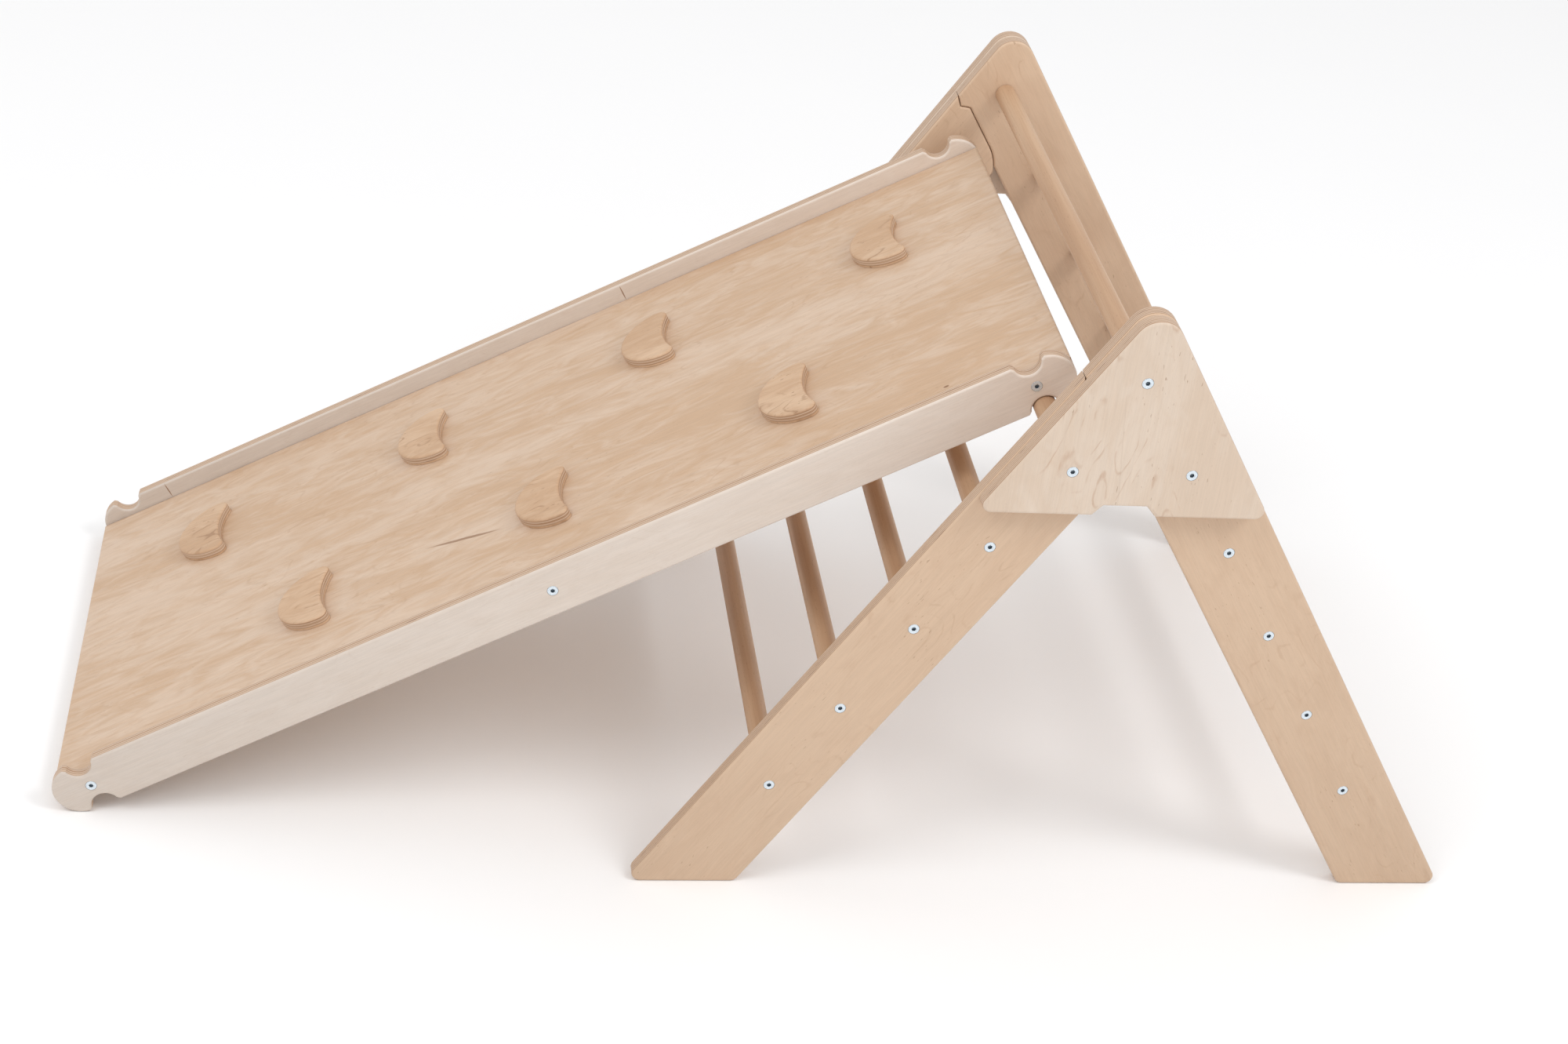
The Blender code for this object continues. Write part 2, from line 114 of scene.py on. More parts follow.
JOINTS = {joint["name"]: joint for joint in frame["joints"]}
BODIES = frame["record"]["behaviour"]["bodies"]
BODY_OF = {node: body for body, nodes in BODIES.items() for node in nodes}
PIVOT = Vector(JOINTS["fold"]["pos_m"])
DECK_UP = Vector(JOINTS["ramp_lift"]["axis"]).normalized()
RAMP_ALONG = Y.cross(DECK_UP)
LEG_RUN = middle("front_rung_2") - middle("front_rung_5")
LEG_TILT = atan2(LEG_RUN.x, LEG_RUN.z)
PIVOT_TO_BACK = (middle("back_rung_1") - PIVOT).x
HALF_WIDTH = LEG_WIDTH / 2
PLY = extent("back_leg_right").y
RAIL_PLY = extent("rail_right").y
RAMP_MIDDLE = (middle("rail_screw_2_right") + middle("rail_screw_2_left")) / 2
HOOK = (middle("rail_screw_3_right") - middle("rail_screw_2_right")).length
RAIL_END = (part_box("rail_right")[1].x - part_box("rail_right")[0].x - 2 * RAIL_HALF) / RAMP_ALONG.x / 2


# Outlines, in world X and Z from the pivot unless a function says otherwise
def on_leg(distance, outward, side):
    """Point of a leg from its first rung: down the leg, and out from its middle line."""
    return (side * (distance * sin(LEG_TILT) + outward * cos(LEG_TILT)),
            -distance * cos(LEG_TILT) + outward * sin(LEG_TILT))


def at_floor(start, outward, side):
    distance = (PIVOT.z + outward * sin(LEG_TILT)) / cos(LEG_TILT)
    x, z = on_leg(distance, outward, side)
    return start + x, z


def arc(centre, radius, start, end, steps):
    return [(centre[0] + radius * cos(start + (end - start) * i / steps),
             centre[1] + radius * sin(start + (end - start) * i / steps)) for i in range(steps + 1)]


def fillet(corner, before, after, radius):
    corner = Vector(corner)
    to_before = (Vector(before) - corner).normalized()
    to_after = (Vector(after) - corner).normalized()
    half = acos(max(-1.0, min(1.0, to_before.dot(to_after)))) / 2
    centre = corner + (to_before + to_after).normalized() * radius / sin(half)
    first = corner + to_before * radius * cos(half) / sin(half) - centre
    last = corner + to_after * radius * cos(half) / sin(half) - centre
    start = atan2(first.y, first.x)
    return arc(centre, radius, start, start - first.angle_signed(last), FILLET_STEPS)


def rounded(corners):
    """Outline from (x, z, radius) corners; a radius of 0 keeps the point as it is."""
    points = []
    for i, (x, z, radius) in enumerate(corners):
        if radius == 0:
            points.append((x, z))
        else:
            points += fillet((x, z), corners[i - 1][:2], corners[(i + 1) % len(corners)][:2], radius)
    return points


def plain(points):
    return [(x, z, 0) for x, z in points]


def apex_corner():
    rise = PIVOT_TO_BACK / 2 / sin(LEG_TILT) * cos(LEG_TILT) + HALF_WIDTH / sin(LEG_TILT)
    return PIVOT_TO_BACK / 2, rise


def edge_point(bearing):
    radius = HALF_WIDTH / cos(bearing - (pi - LEG_TILT))
    return radius * cos(bearing), radius * sin(bearing)


def front_leg_outline():
    shoulder = sqrt(STOP_RADIUS ** 2 - HALF_WIDTH ** 2)
    x, z = on_leg(-shoulder, -HALF_WIDTH, -1)
    stop_top = LEG_TILT + acos(STOP_RADIUS / HEAD_RADIUS)
    outline = [(*at_floor(0, HALF_WIDTH, -1), CORNER_RADIUS),
               (*at_floor(0, -HALF_WIDTH, -1), CORNER_RADIUS)]
    outline += plain(arc((0, 0), STOP_RADIUS, atan2(z, x), LEG_TILT, STOP_STEPS))
    outline += plain(arc((0, 0), HEAD_RADIUS, stop_top, HEAD_STEP_BEARING, HEAD_STEPS))
    outline += plain([edge_point(HEAD_TIP_BEARING)])
    return rounded(outline)


def back_leg_outline():
    stop = STOP_RADIUS + GAP
    head = HEAD_RADIUS + GAP
    stop_top = LEG_TILT + acos(stop / head)
    stop_end = LEG_TILT - acos((PIVOT_TO_BACK * cos(LEG_TILT) - HALF_WIDTH) / stop)
    outline = [(*at_floor(PIVOT_TO_BACK, -HALF_WIDTH, 1), CORNER_RADIUS),
               (*at_floor(PIVOT_TO_BACK, HALF_WIDTH, 1), CORNER_RADIUS),
               (*apex_corner(), APEX_RADIUS)]
    outline += plain([edge_point(HEAD_TIP_BEARING - GAP / HEAD_RADIUS)])
    outline += plain(arc((0, 0), head, HEAD_STEP_BEARING - GAP / head, stop_top, HEAD_STEPS))
    outline += plain(arc((0, 0), stop, LEG_TILT, stop_end, STOP_STEPS))
    return rounded(outline)


def plate_outline():
    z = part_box("side_plate_right")[0].z - PIVOT.z
    centre = PIVOT_TO_BACK / 2
    half_base = centre + HALF_WIDTH / cos(LEG_TILT) - z * sin(LEG_TILT) / cos(LEG_TILT)
    wide, narrow, height = PLATE_NOTCH
    return rounded([(centre - half_base, z, CORNER_RADIUS),
                    (centre - wide / 2, z, NOTCH_EASE), (centre - narrow / 2, z + height, NOTCH_EASE),
                    (centre + narrow / 2, z + height, NOTCH_EASE), (centre + wide / 2, z, NOTCH_EASE),
                    (centre + half_base, z, CORNER_RADIUS), (*apex_corner(), APEX_RADIUS)])


def rail_outline():
    """Along the slide and out of its deck, from the rail's middle."""
    quarter = [(HOOK - NOTCH_RADIUS - NOTCH_EASE, RAIL_HALF)]
    quarter += arc((HOOK, RAIL_HALF), NOTCH_RADIUS, NOTCH_TRIM - pi, -NOTCH_TRIM, NOTCH_STEPS)
    quarter += arc((RAIL_END, 0), RAIL_HALF, RAIL_ROUND_START, 0, RAIL_ROUND_STEPS)
    right = quarter + [(x, -z) for x, z in reversed(quarter[:-1])]
    return right + [(-x, -z) for x, z in right]


def hold_outline():
    """Along and across the slide, from the centre of the hold's round back."""
    inset = HOLD_RADIUS - HOLD_TIP_RADIUS
    tip = (inset * sin(HOLD_TIP_LEAN), inset * cos(HOLD_TIP_LEAN))
    crown = pi / 2 - HOLD_TIP_LEAN
    shift = HOLD_WAIST - HOLD_TIP_RADIUS
    dish = (tip[0] ** 2 + tip[1] ** 2 - shift ** 2) / (2 * (tip[0] - shift))
    meet = atan2(-tip[1], dish - tip[0])
    upper = arc((dish, 0), dish - HOLD_WAIST, pi, pi + meet, HOLD_DISH_STEPS)
    upper += arc(tip, HOLD_TIP_RADIUS, meet, crown, HOLD_TIP_STEPS)[1:]
    upper += arc((0, 0), HOLD_RADIUS, crown, pi, HOLD_BACK_STEPS)[1:]
    return upper + [(x, -y) for x, y in reversed(upper[1:-1])]


# Mesh helpers
def axes(along, out, place):
    """Matrix with local X along, local Z out, at a place in the row frame."""
    matrix = Matrix((along, out.cross(along), out)).transposed().to_4x4()
    matrix.translation = place
    return matrix


def in_axes(points, along):
    """World X and Z points in a side panel's local axes, whose local X runs along."""
    across = (-Y).cross(along)
    return [(x * along.x + z * along.z, x * across.x + z * across.z) for x, z in points]


def smooth(mesh):
    for face in mesh.polygons:
        face.use_smooth = True
    mesh.set_sharp_from_angle(angle=SHARP_ANGLE)


def panel(outline, thickness, ease, sides=(-1, 1), where=None):
    """A flat panel in local XY, its rims rounded on the given sides, where a test says if there is one."""
    bm = bmesh.new()
    base = [bm.verts.new((x, y, -thickness / 2)) for x, y in outline]
    face = bm.faces.new(base)
    lifted = bmesh.ops.extrude_face_region(bm, geom=[face])["geom"]
    bmesh.ops.translate(bm, verts=[v for v in lifted if isinstance(v, bmesh.types.BMVert)],
                        vec=(0, 0, thickness))
    bmesh.ops.recalc_face_normals(bm, faces=bm.faces)
    levels = [side * thickness / 2 for side in sides]
    rims = [e for e in bm.edges if any(all(abs(v.co.z - z) < 1e-7 for v in e.verts) for z in levels)]
    rims = [e for e in rims if where is None or where(e)]
    bmesh.ops.bevel(bm, geom=rims, offset=ease, segments=EASE_STEPS, profile=0.5, affect="EDGES")
    mesh = bpy.data.meshes.new("panel")
    bm.to_mesh(mesh)
    bm.free()
    return mesh


def turned(profile, steps):
    """A solid of revolution about local Z from (radius, z) points that end on the axis."""
    bm = bmesh.new()
    points = [bm.verts.new((r, 0, z)) for r, z in profile]
    lines = [bm.edges.new(pair) for pair in zip(points, points[1:])]
    bmesh.ops.spin(bm, geom=points + lines, cent=(0, 0, 0), axis=(0, 0, 1), angle=2 * pi, steps=steps,
                   use_merge=True)
    bmesh.ops.remove_doubles(bm, verts=bm.verts, dist=1e-6)
    bmesh.ops.recalc_face_normals(bm, faces=bm.faces)
    mesh = bpy.data.meshes.new("turned")
    bm.to_mesh(mesh)
    bm.free()
    return mesh


def carved(mesh, cutters):
    """The mesh with (mesh, matrix) cutters taken out of it."""
    bm = bmesh.new()
    for cutter, matrix in cutters:
        piece = cutter.copy()
        piece.transform(matrix)
        bm.from_mesh(piece)
        bpy.data.meshes.remove(piece)
    joined = bpy.data.meshes.new("cutter")
    bm.to_mesh(joined)
    bm.free()
    solid, tool = (bpy.data.objects.new("carving", data) for data in (mesh, joined))
    for item in (solid, tool):
        bpy.context.scene.collection.objects.link(item)
    boolean = solid.modifiers.new("holes", "BOOLEAN")
    boolean.object = tool
    bpy.context.view_layer.update()
    result = bpy.data.meshes.new_from_object(solid.evaluated_get(bpy.context.evaluated_depsgraph_get()))
    for item in (solid, tool):
        bpy.data.objects.remove(item)
    return result


def screw_mesh(node):
    """A countersunk screw with a hexagon socket, its face at local z = 0, pointing down."""
    size = extent(node)
    head = size.x / 2
    shank = RAIL_SHANK if node.startswith("rail") else SHANK
    profile = [(0, 0), (head - HEAD_EASE, 0), (head, -HEAD_EASE), (head, -HEAD_RIM)]
    profile += [(shank, -COUNTERSINK), (shank, shank - size.y), (0, -size.y)]
    bm = bmesh.new()
    bmesh.ops.create_cone(bm, cap_ends=True, segments=6, radius1=SOCKET_RADIUS * SOCKET_TAPER,
                          radius2=SOCKET_RADIUS, depth=2 * SOCKET_DEPTH)
    socket = bpy.data.meshes.new("socket")
    bm.to_mesh(socket)
    bm.free()
    return carved(turned(profile, SCREW_STEPS), [(socket, Matrix())])


def hole_mesh(thickness, shank, head):
    """What a screw hole takes out of a panel; head is the head's radius, or None for a straight hole."""
    radius = shank + GAP
    bottom = [(radius, -thickness - HOLE_OVER), (0, -thickness - HOLE_OVER)]
    if head is None:
        return turned([(0, HOLE_OVER), (radius, HOLE_OVER)] + bottom, SCREW_STEPS)
    wide = head + GAP
    top = [(0, HOLE_OVER), (wide, HOLE_OVER), (wide, -HEAD_RIM - GAP), (radius, -COUNTERSINK - GAP)]
    return turned(top + bottom, SCREW_STEPS)


def holes_in(matrix, nodes, thickness, shank, head_nodes):
    """Cutters for the screws of a panel, in its local axes; a screw's head lies at its outer end."""
    cutters = []
    for node in nodes:
        side = 1 if node.endswith("left") else -1
        head = extent(node).x / 2 if node in head_nodes else None
        place = middle(node)
        place.y = matrix.translation.y + side * thickness / 2
        turn = Matrix.Rotation(-side * pi / 2, 4, "X")
        world = Matrix.Translation(place) @ turn
        cutters.append((hole_mesh(thickness, shank, head), matrix.inverted() @ world))
    return cutters


def add_piece(node, mesh, matrix, material):
    """A finished piece in the place of a CAD node, in axes parallel to the row frame's."""
    mesh.transform(matrix.to_3x3().to_4x4())
    piece = bpy.data.objects.new(node + "_fine", mesh)
    bpy.context.scene.collection.objects.link(piece)
    piece.location = matrix.translation
    mesh.materials.clear()
    mesh.materials.append(material)
    smooth(mesh)
    piece.modifiers.new("normals", "WEIGHTED_NORMAL").keep_sharp = True
    bpy.context.view_layer.update()
    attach(piece, BODY_OF[node])
    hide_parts(node)


# Materials
class Graph:
    """A material's nodes, written as expressions, in axes turned with the piece's grain."""

    def __init__(self, name, matrix=None):
        self.material = bpy.data.materials.new(name)
        self.material.use_nodes = True
        self.tree = self.material.node_tree
        self.shader = self.tree.nodes["Principled BSDF"]
        self.turn = matrix.to_euler() if matrix else (0, 0, 0)
        source = self.node("TexCoord").outputs
        self.place = self.turned(source["Object"])

    def turned(self, vector):
        return self.node("Mapping", (vector, None, self.turn), vector_type="TEXTURE").outputs[0]

    def plug(self, socket, value):
        if isinstance(value, bpy.types.NodeSocket):
            self.tree.links.new(value, socket)
        else:
            socket.default_value = value

    def node(self, kind, inputs=(), **settings):
        item = self.tree.nodes.new("ShaderNode" + kind)
        for key, value in settings.items():
            setattr(item, key, value)
        for socket, value in zip(item.inputs, inputs):
            if value is not None:
                self.plug(socket, value)
        return item

    def math(self, operation, a, b=None, c=None):
        return self.node("Math", (a, b, c), operation=operation).outputs[0]

    def stretch(self, scale, offset=(0, 0, 0)):
        return self.node("VectorMath", (self.place, scale, offset), operation="MULTIPLY_ADD").outputs[0]

    def noise(self, vector, detail=2.0, roughness=0.5, swirl=0.0):
        item = self.node("TexNoise")
        self.plug(item.inputs["Vector"], vector)
        self.plug(item.inputs["Scale"], 1.0)
        self.plug(item.inputs["Detail"], detail)
        self.plug(item.inputs["Roughness"], roughness)
        self.plug(item.inputs["Distortion"], swirl)
        return item.outputs[0]

    def span(self, value, low, high, new_low=0.0, new_high=1.0):
        inputs = (value, low, high, new_low, new_high)
        return self.node("MapRange", inputs, interpolation_type="SMOOTHSTEP").outputs[0]

    def mix(self, factor, a, b, blend="MIX"):
        item = self.node("Mix", data_type="RGBA", blend_type=blend)
        for index, value in ((0, factor), (6, a), (7, b)):
            self.plug(item.inputs[index], value)
        return item.outputs[2]

    def bump(self, height, distance):
        item = self.node("Bump")
        self.plug(item.inputs["Strength"], BUMP_STRENGTH)
        self.plug(item.inputs["Distance"], distance)
        self.plug(item.inputs["Height"], height)
        self.plug(self.shader.inputs["Normal"], item.outputs[0])

    def split(self, vector):
        return self.node("SeparateXYZ", (vector,)).outputs


def colour(red, green, blue):
    return (red, green, blue, 1.0)


# Linear colours of the wood: pale, warm and dark
TONES = {
    "leg": (colour(0.665, 0.48, 0.335), colour(0.60, 0.415, 0.28), colour(0.40, 0.22, 0.12)),
    "plate": (colour(0.70, 0.575, 0.465), colour(0.64, 0.495, 0.375), colour(0.45, 0.26, 0.15)),
    "deck": (colour(0.665, 0.505, 0.38), colour(0.565, 0.375, 0.235), colour(0.40, 0.23, 0.12)),
    "rail": (colour(0.69, 0.60, 0.525), colour(0.645, 0.54, 0.455), colour(0.44, 0.29, 0.19)),
    "hold": (colour(0.66, 0.46, 0.305), colour(0.55, 0.35, 0.21), colour(0.30, 0.15, 0.07)),
}
# How strong the clouds, growth arcs, fibre and flecks of each wood are,
# and how much paler it gets per metre along its grain: painted light on the rail, paler towards its upper end;
# darker towards the foot on the legs
FIGURES = {
    "leg": (0.6, 0.20, 0.5, 0.4, -0.14),
    "plate": (0.7, 0.45, 0.5, 0.5, 0.0),
    "deck": (0.9, 0.25, 0.8, 0.3, 0.0),
    "rail": (0.6, 0.08, 0.6, 0.1, 0.20),
    "hold": (1.0, 0.60, 0.8, 0.8, 0.0),
}
PLY_LONG = colour(0.66, 0.50, 0.37)
PLY_END = colour(0.41, 0.24, 0.14)
GLUE = colour(0.22, 0.11, 0.06)
FLECK = colour(0.27, 0.14, 0.07)
BEECH_PALE = colour(0.59, 0.39, 0.245)
BEECH_WARM = colour(0.48, 0.29, 0.17)
BEECH_FIBRE = colour(0.38, 0.22, 0.13)
BEECH_RAY = colour(0.26, 0.14, 0.08)
ZINC_BRIGHT = colour(0.74, 0.82, 0.88)
ZINC_WORN = colour(0.60, 0.66, 0.71)
# painted shade: the colour put inside a screw's hexagon socket, where shade falls in the recess
ZINC_PAINTED_SOCKET_SHADE = colour(0.05, 0.08, 0.11)
ZINC_METALLIC = 0.55
SOCKET_PAINTED_SHADE_STRENGTH = 0.86             # how strong the painted shade inside a screw's socket is
SOCKET_PAINTED_SHADE_DEPTH = 0.00025    # the painted shade starts this far below a screw's face
FLOOR_TONES = (colour(0.96, 0.96, 0.965), colour(0.97, 0.97, 0.975))
FLOOR_ROUGHNESS = 0.9

PANEL_PLIES = 13
RAIL_PLIES = 9
HOLD_PLIES = 7
FACE_PLIES = 1.3                # plies under a face that still show its veneer, on the eased rim
BUMP_STRENGTH = 0.4
FIBRE_HEIGHT = 0.0001
TURNING_HEIGHT = 0.00002
MARK_RAGGED = 0.0016            # how far a mark's edge wanders

# Marks in a panel's own axes: place, half length, half width, strength, and slant where there is one
PLATE_JOINT = (0.02, -0.046, 0.075, 0.0007, 0.10, 0.111)
RAIL_GAPS = ((0.1275, 0.018, 0.0008, 0.0102, 0.9), (-0.4915, 0.019, 0.0008, 0.0102, 0.9))
DECK_STREAK = (-0.096, -0.1187, 0.044, 0.0024, 0.80, -0.268)
DECK_SPECK = (0.4577, -0.2205, 0.0034, 0.0018, 1.0)

# Where each wood's random pattern starts, and its step from one hold or rung to the next
SEEDS = {"back_leg": 1.3, "front_leg": 3.7, "plate": 6.1, "rail": 8.2, "deck": 10.6,
         "hold": 12.9, "rung": 0.4}
HOLD_SEED_STEP = 1.37
RUNG_SEED_STEP = 1.7


def veneer(g, wood, seed):
    """Rotary-cut birch: soft clouds, broken growth arcs, fine fibre and short flecks along local X, with a tone
    gradient along X that is painted light on the rail.
    """
    pale, warm, dark = TONES[wood]
    clouds, arcs, fibres, flecks, grain_gradient_and_painted_light = FIGURES[wood]

    def field(layer, along, across, detail=2.0, swirl=0.0):
        shift = (seed * 3.7 + layer, seed * 1.9, 0.3)
        return g.noise(g.stretch((along, across, 0), shift), detail, 0.5, swirl)

    small_clouds = field(0, 13, 42, 3, 2.4)
    large_clouds = g.math("MULTIPLY", field(1, 2.4, 10, 3, 0.8), 0.55)
    cloud = g.math("MULTIPLY_ADD", small_clouds, 0.45, large_clouds)
    base = g.mix(g.math("MULTIPLY", g.span(cloud, 0.34, 0.64), clouds), pale, warm)
    warp = g.math("MULTIPLY_ADD", field(2, 60, 110), 0.04, field(3, 9, 22, 1))
    distance = g.math("PINGPONG", g.math("MULTIPLY", warp, 10), 0.5)
    broken = g.math("MULTIPLY", g.span(field(4, 8, 18), 0.46, 0.62),
                    g.span(field(9, 45, 60), 0.40, 0.62))
    arc_line = g.math("MULTIPLY", g.span(distance, 0.0, 0.13, 1.0, 0.0), broken)
    base = g.mix(g.math("MULTIPLY", arc_line, arcs), base, dark)
    fibre = field(5, 22, 620, 4)
    shade = g.span(fibre, 0.25, 0.75, 1.0 - 0.07 * fibres, 1.0 + 0.05 * fibres)
    # Tone gradient along the grain: on the rail this is painted light that makes its upper end paler; on the legs
    # it darkens them towards the foot.
    shade = g.math("MULTIPLY_ADD", g.split(g.place)[0], grain_gradient_and_painted_light, shade)
    base = g.mix(1.0, base, g.node("CombineColor", (shade, shade, shade)).outputs[0], "MULTIPLY")
    pores = g.span(field(6, 170, 1300), 0.58, 0.74)
    base = g.mix(g.math("MULTIPLY", pores, 0.22 * fibres), base, dark)
    spot = g.math("MULTIPLY", g.span(field(7, 130, 520, 1), 0.70, 0.76),
                  g.span(field(8, 12, 22), 0.50, 0.58))
    return g.mix(g.math("MULTIPLY", spot, flecks), base, FLECK), fibre


def mark(g, base, x0, y0, half_long, half_wide, strength, slant=0.0):
    """A thin dark streak, speck or veneer joint, at a place in the panel's own axes."""
    x, y, _ = g.split(g.place)
    along = g.math("SUBTRACT", x, x0)
    across = g.math("MULTIPLY_ADD", along, -slant, g.math("SUBTRACT", y, y0))
    wander = g.noise(g.stretch((90, 90, 0)), 1)
    across = g.math("ADD", across, g.math("MULTIPLY_ADD", wander, MARK_RAGGED, -MARK_RAGGED / 2))
    u = g.math("POWER", g.math("DIVIDE", g.math("ABSOLUTE", along), half_long), 2)
    v = g.math("POWER", g.math("DIVIDE", g.math("ABSOLUTE", across), half_wide), 2)
    mask = g.span(g.math("ADD", u, v), 0.3, 1.3, strength, 0.0)
    return g.mix(mask, base, FLECK)


def laminations(g, thickness, plies, seed):
    """The crossed plies of a cut edge, with thin glue lines and a few dark core gaps."""
    level = g.math("MULTIPLY", g.math("ADD", g.split(g.place)[2], thickness / 2), plies / thickness)
    index = g.math("FLOOR", level)
    odd = g.math("FLOORED_MODULO", index, 2.0)
    chance = g.node("TexWhiteNoise", (g.node("CombineXYZ", (index, seed, 0.5)).outputs[0],)).outputs[0]
    core = g.mix(g.math("MULTIPLY", odd, g.span(chance, 0.0, 1.0, 0.5, 0.9)), PLY_LONG, PLY_END)
    streak = g.noise(g.stretch((30, 30, 900), (seed, 0, 0)), 3, 0.6)
    core = g.mix(g.span(streak, 0.35, 0.75, 0.0, 0.20), core, PLY_END)
    glue = g.span(g.math("PINGPONG", level, 0.5), 0.02, 0.12, 0.75, 0.0)
    core = g.mix(glue, core, GLUE)
    gaps = g.noise(g.stretch((26, 26, 420), (seed * 2, 0, 7)), 1, 0.4)
    core = g.mix(g.math("MULTIPLY", g.span(gaps, 0.68, 0.72, 0.0, 0.85), odd), core, GLUE)
    inside = g.math("MULTIPLY", g.math("GREATER_THAN", level, FACE_PLIES),
                    g.math("LESS_THAN", level, plies - FACE_PLIES))
    return inside, core


def plywood(name, matrix, thickness, plies, wood, seed, marks=()):
    """Solid birch plywood: face veneers with the grain along local X, and plies on every cut edge."""
    g = Graph(name, matrix)
    face, fibre = veneer(g, wood, seed)
    for spot in marks:
        face = mark(g, face, *spot)
    inside, core = laminations(g, thickness, plies, seed)
    g.plug(g.shader.inputs["Base Color"], g.mix(inside, face, core))
    g.plug(g.shader.inputs["Roughness"], g.span(fibre, 0.2, 0.8, 0.42, 0.55))
    g.bump(fibre, FIBRE_HEIGHT)
    return g.material


def beech(name, matrix, seed):
    """Round beech stock with the grain along local Z: soft tone bands and short dark ray flecks."""
    g = Graph(name, matrix)
    shift = (seed * 2.3, seed * 1.1, seed * 0.7)
    tone = g.noise(g.stretch((60, 60, 3.0), shift), 3)
    base = g.mix(g.span(tone, 0.3, 0.7), BEECH_PALE, BEECH_WARM)
    fibre = g.noise(g.stretch((700, 700, 9), shift), 4, 0.6)
    base = g.mix(g.span(fibre, 0.35, 0.8, 0.0, 0.25), base, BEECH_FIBRE)
    rays = g.span(g.noise(g.stretch((900, 900, 190), shift), 1, 0.4), 0.66, 0.74)
    base = g.mix(g.math("MULTIPLY", rays, 0.30), base, BEECH_RAY)
    g.plug(g.shader.inputs["Base Color"], base)
    g.plug(g.shader.inputs["Roughness"], g.span(fibre, 0.2, 0.8, 0.42, 0.55))
    g.bump(fibre, FIBRE_HEIGHT)
    return g.material


def zinc(name, matrix):
    """Bright zinc plate with faint turning marks and wear, and painted shade inside the socket."""
    g = Graph(name, matrix)
    x, y, z = g.split(g.place)
    radius = g.math("SQRT", g.math("ADD", g.math("POWER", x, 2), g.math("POWER", y, 2)))
    turning = g.noise(g.node("CombineXYZ", (g.math("MULTIPLY", radius, 9000), 0, 0)).outputs[0], 1)
    wear = g.noise(g.stretch((500, 500, 500)), 3)
    plate = g.mix(g.span(wear, 0.35, 0.7), ZINC_BRIGHT, ZINC_WORN)
    # Painted shade: the socket's recess is darkened below the screw's face.
    socket_painted_shade_mask = g.math("MULTIPLY", g.math("LESS_THAN", z, -SOCKET_PAINTED_SHADE_DEPTH),
                  g.math("LESS_THAN", radius, SOCKET_RADIUS * 1.05))
    colour_with_painted_shade = g.mix(g.math("MULTIPLY", socket_painted_shade_mask, SOCKET_PAINTED_SHADE_STRENGTH), plate, ZINC_PAINTED_SOCKET_SHADE)
    g.plug(g.shader.inputs["Base Color"], colour_with_painted_shade)
    g.plug(g.shader.inputs["Metallic"], ZINC_METALLIC)
    g.plug(g.shader.inputs["Roughness"], g.span(wear, 0.3, 0.7, 0.30, 0.45))
    g.bump(turning, TURNING_HEIGHT)
    return g.material


# Pieces
SIDES = ("right", "left")


def leg_screws(word):
    back = [f"top_screw_{word}"] + [f"back_screw_{i}_{word}" for i in range(1, 6)]
    front = [f"pivot_screw_{word}"] + [f"front_screw_{i}_{word}" for i in range(2, 6)]
    return back, front


def side_pieces():
    """Legs and side plates."""
    for n, word in enumerate(SIDES):
        back, front = leg_screws(word)
        for node, outline, side, screws, heads, seed in (
                (f"back_leg_{word}", back_leg_outline(), 1, back, back[2:], SEEDS["back_leg"] + n),
                (f"front_leg_{word}", front_leg_outline(), -1, front, front[1:], SEEDS["front_leg"] + n)):
            down = Vector((side * sin(LEG_TILT), 0, -cos(LEG_TILT)))
            matrix = axes(down, -Y, Vector((PIVOT.x, middle(node).y, PIVOT.z)))
            mesh = panel(in_axes(outline, down), PLY, PANEL_EASE)
            mesh = carved(mesh, holes_in(matrix, screws, PLY, SHANK, heads))
            material = plywood(node, matrix, PLY, PANEL_PLIES, "leg", seed)
            add_piece(node, mesh, matrix, material)
        node = f"side_plate_{word}"
        screws = [back[0], front[0], back[1]]
        matrix = axes(Z, -Y, Vector((PIVOT.x, middle(node).y, PIVOT.z)))
        mesh = panel(in_axes(plate_outline(), Z), PLY, PANEL_EASE)
        mesh = carved(mesh, holes_in(matrix, screws, PLY, SHANK, screws))
        material = plywood(node, matrix, PLY, PANEL_PLIES, "plate", SEEDS["plate"] + n, [PLATE_JOINT])
        add_piece(node, mesh, matrix, material)


def rung_pieces():
    rungs = ["top_rung", "pivot_rung"] + [f"back_rung_{i}" for i in range(1, 6)]
    rungs += [f"front_rung_{i}" for i in range(2, 6)]
    for n, node in enumerate(rungs):
        size = extent(node)
        radius = size.x / 2
        half = size.y / 2
        bore = SHANK + GAP
        knee = RUNG_EASE * 0.3
        end = [(0, half - BORE_DEPTH), (bore, half - BORE_DEPTH), (bore, half), (radius - RUNG_EASE, half),
               (radius - knee, half - knee), (radius, half - RUNG_EASE)]
        mesh = turned(end + [(r, -z) for r, z in reversed(end)], RUNG_STEPS)
        matrix = axes(X, -Y, middle(node))
        material = beech(node, matrix, n * RUNG_SEED_STEP + SEEDS["rung"])
        add_piece(node, mesh, matrix, material)


def screw_pieces():
    turns = {word: Matrix.Rotation((1 - 2 * n) * pi / 2, 4, "X") for n, word in enumerate(SIDES)}
    metal = {word: zinc(f"zinc_plate_{word}", turns[word]) for word in SIDES}
    for n, node in enumerate(sorted(n for n in frame["nodes"] if "_screw_" in n)):
        word = node.rsplit("_", 1)[1]
        place = middle(node)
        place.y += (1 if word == "left" else -1) * extent(node).y / 2
        socket_turn = Matrix.Rotation(n * SOCKET_TURN, 4, "Z")
        matrix = Matrix.Translation(place) @ turns[word] @ socket_turn
        add_piece(node, screw_mesh(node), matrix, metal[word])


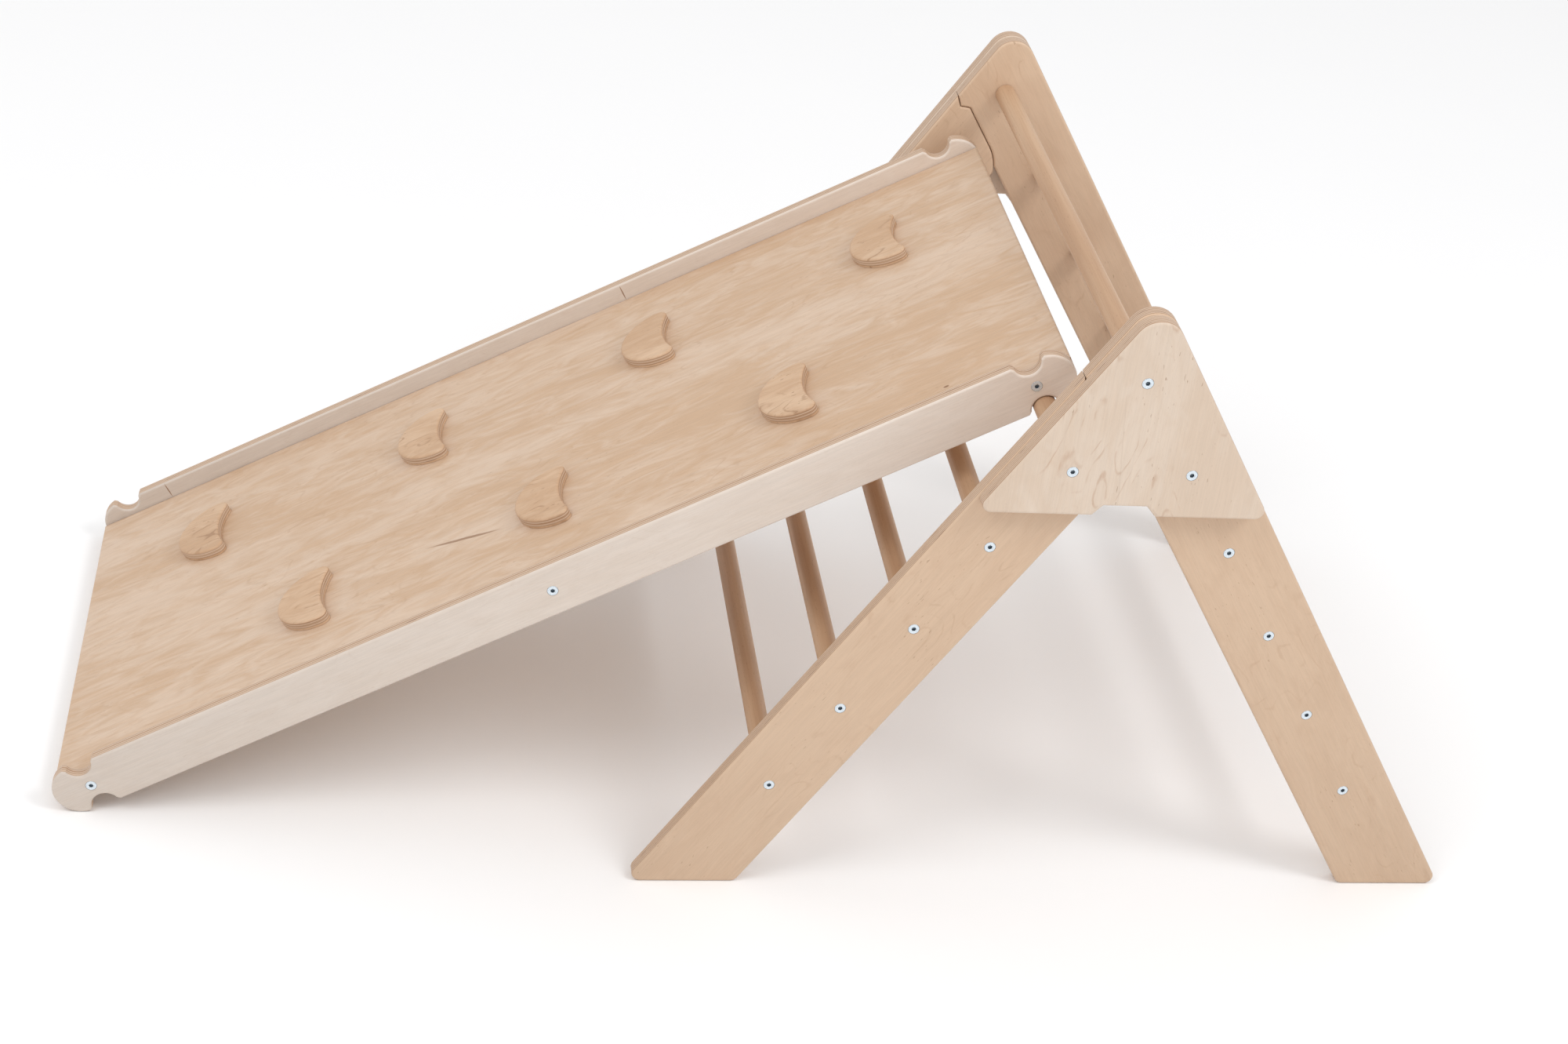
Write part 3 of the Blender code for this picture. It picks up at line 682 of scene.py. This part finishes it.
def rail_pieces():
    for n, word in enumerate(SIDES):
        node = f"rail_{word}"
        screws = [f"rail_screw_{i}_{word}" for i in (1, 2, 3)]
        matrix = axes(RAMP_ALONG, -Y, Vector((RAMP_MIDDLE.x, middle(node).y, RAMP_MIDDLE.z)))
        mesh = panel(rail_outline(), RAIL_PLY, RAIL_EASE)
        mesh = carved(mesh, holes_in(matrix, screws, RAIL_PLY, RAIL_SHANK, screws))
        marks = RAIL_GAPS if word == "left" else ()
        material = plywood(node, matrix, RAIL_PLY, RAIL_PLIES, "rail", SEEDS["rail"] + n, marks)
        add_piece(node, mesh, matrix, material)


def deck_piece():
    half_x = RAIL_END + RAIL_HALF
    low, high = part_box("deck")
    half_y = (high.y - low.y) / 2
    outline = [(-half_x, -half_y), (half_x, -half_y), (half_x, half_y), (-half_x, half_y)]

    def at_an_end(edge):
        return all(abs(v.co.x) > half_x - 1e-6 for v in edge.verts)

    mesh = panel(outline, DECK_PLY, RAIL_EASE, where=at_an_end)
    matrix = axes(RAMP_ALONG, DECK_UP, Vector((RAMP_MIDDLE.x, (low.y + high.y) / 2, RAMP_MIDDLE.z)))
    marks = [DECK_STREAK, DECK_SPECK]
    material = plywood("deck", matrix, DECK_PLY, PANEL_PLIES, "deck", SEEDS["deck"], marks)
    add_piece("deck", mesh, matrix, material)


def hold_pieces():
    edge = [x for x, _ in hold_outline()]
    shift = (min(edge) + max(edge)) / 2
    level = RAMP_MIDDLE + DECK_UP * (DECK_PLY / 2 + GAP + HOLD_PLY / 2)
    for n, node in enumerate(sorted(n for n in frame["nodes"] if n.startswith("hold_"))):
        centre = middle(node)
        place = level + RAMP_ALONG * ((centre - level).dot(RAMP_ALONG) - shift)
        place.y = centre.y
        matrix = axes(RAMP_ALONG, DECK_UP, place)
        mesh = panel(hold_outline(), HOLD_PLY, HOLD_EASE, sides=(1,))
        seed = SEEDS["hold"] + n * HOLD_SEED_STEP
        material = plywood(node, matrix, HOLD_PLY, HOLD_PLIES, "hold", seed)
        add_piece(node, mesh, matrix, material)


# Studio
FLOOR_SIZE = 60
WORLD_STRENGTH = 0.82
LIGHTS_AIM = Vector((0, 0, 0.35))
SOFTBOXES = {                   # place, diameter and power
    "left_softbox": ((-3.0, -1.9, 4.6), 2.6, 66),
    "right_softbox": ((2.9, -2.2, 4.4), 1.8, 66),
}
CAMERA_FROM_PIVOT = -0.6661     # in x
CAMERA_FROM_LEG = -2.0698       # in y, from the near legs' outer faces
CAMERA_HEIGHT = 1.7577
CAMERA_LENS = 57.67
CAMERA_YAW = radians(-10.671)
CAMERA_PITCH = radians(31.643)
CAMERA_ROLL = radians(-7.158)


def floor():
    bpy.ops.mesh.primitive_plane_add(size=FLOOR_SIZE, location=(0, 0, 0))
    item = bpy.context.object
    item.name = "floor"
    g = Graph("floor")
    grain = g.noise(g.stretch((3, 3, 3)), 3)
    g.plug(g.shader.inputs["Base Color"], g.mix(grain, *FLOOR_TONES))
    g.plug(g.shader.inputs["Roughness"], FLOOR_ROUGHNESS)
    item.data.materials.append(g.material)


def area_light(name, place, size, power):
    data = bpy.data.lights.new(name, "AREA")
    data.shape = "DISK"
    data.size = size
    data.energy = power
    lamp = bpy.data.objects.new(name, data)
    bpy.context.scene.collection.objects.link(lamp)
    lamp.location = place
    lamp.rotation_euler = (LIGHTS_AIM - Vector(place)).to_track_quat("-Z", "Y").to_euler()


def studio():
    world = bpy.data.worlds.new("studio")
    bpy.context.scene.world = world
    world.use_nodes = True
    background = world.node_tree.nodes["Background"]
    background.inputs[0].default_value = (1, 1, 1, 1)
    background.inputs[1].default_value = WORLD_STRENGTH
    for name, (place, size, power) in SOFTBOXES.items():
        area_light(name, place, size, power)
    bpy.context.scene.view_settings.view_transform = "Standard"


def camera():
    """The photograph's view: a little from the left, from above, and slightly tilted."""
    data = bpy.data.cameras.new("camera")
    data.sensor_width = 36
    data.lens = CAMERA_LENS
    item = bpy.data.objects.new("camera", data)
    bpy.context.scene.collection.objects.link(item)
    leg_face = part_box("front_leg_right")[0].y
    item.location = (PIVOT.x + CAMERA_FROM_PIVOT, leg_face + CAMERA_FROM_LEG, CAMERA_HEIGHT)
    turn = Matrix.Rotation(CAMERA_YAW, 3, "Z") @ Matrix.Rotation(pi / 2 - CAMERA_PITCH, 3, "X")
    item.rotation_euler = (turn @ Matrix.Rotation(-CAMERA_ROLL, 3, "Z")).to_euler()
    bpy.context.scene.camera = item


side_pieces()
rung_pieces()
screw_pieces()
rail_pieces()
deck_piece()
hold_pieces()
floor()
studio()
camera()
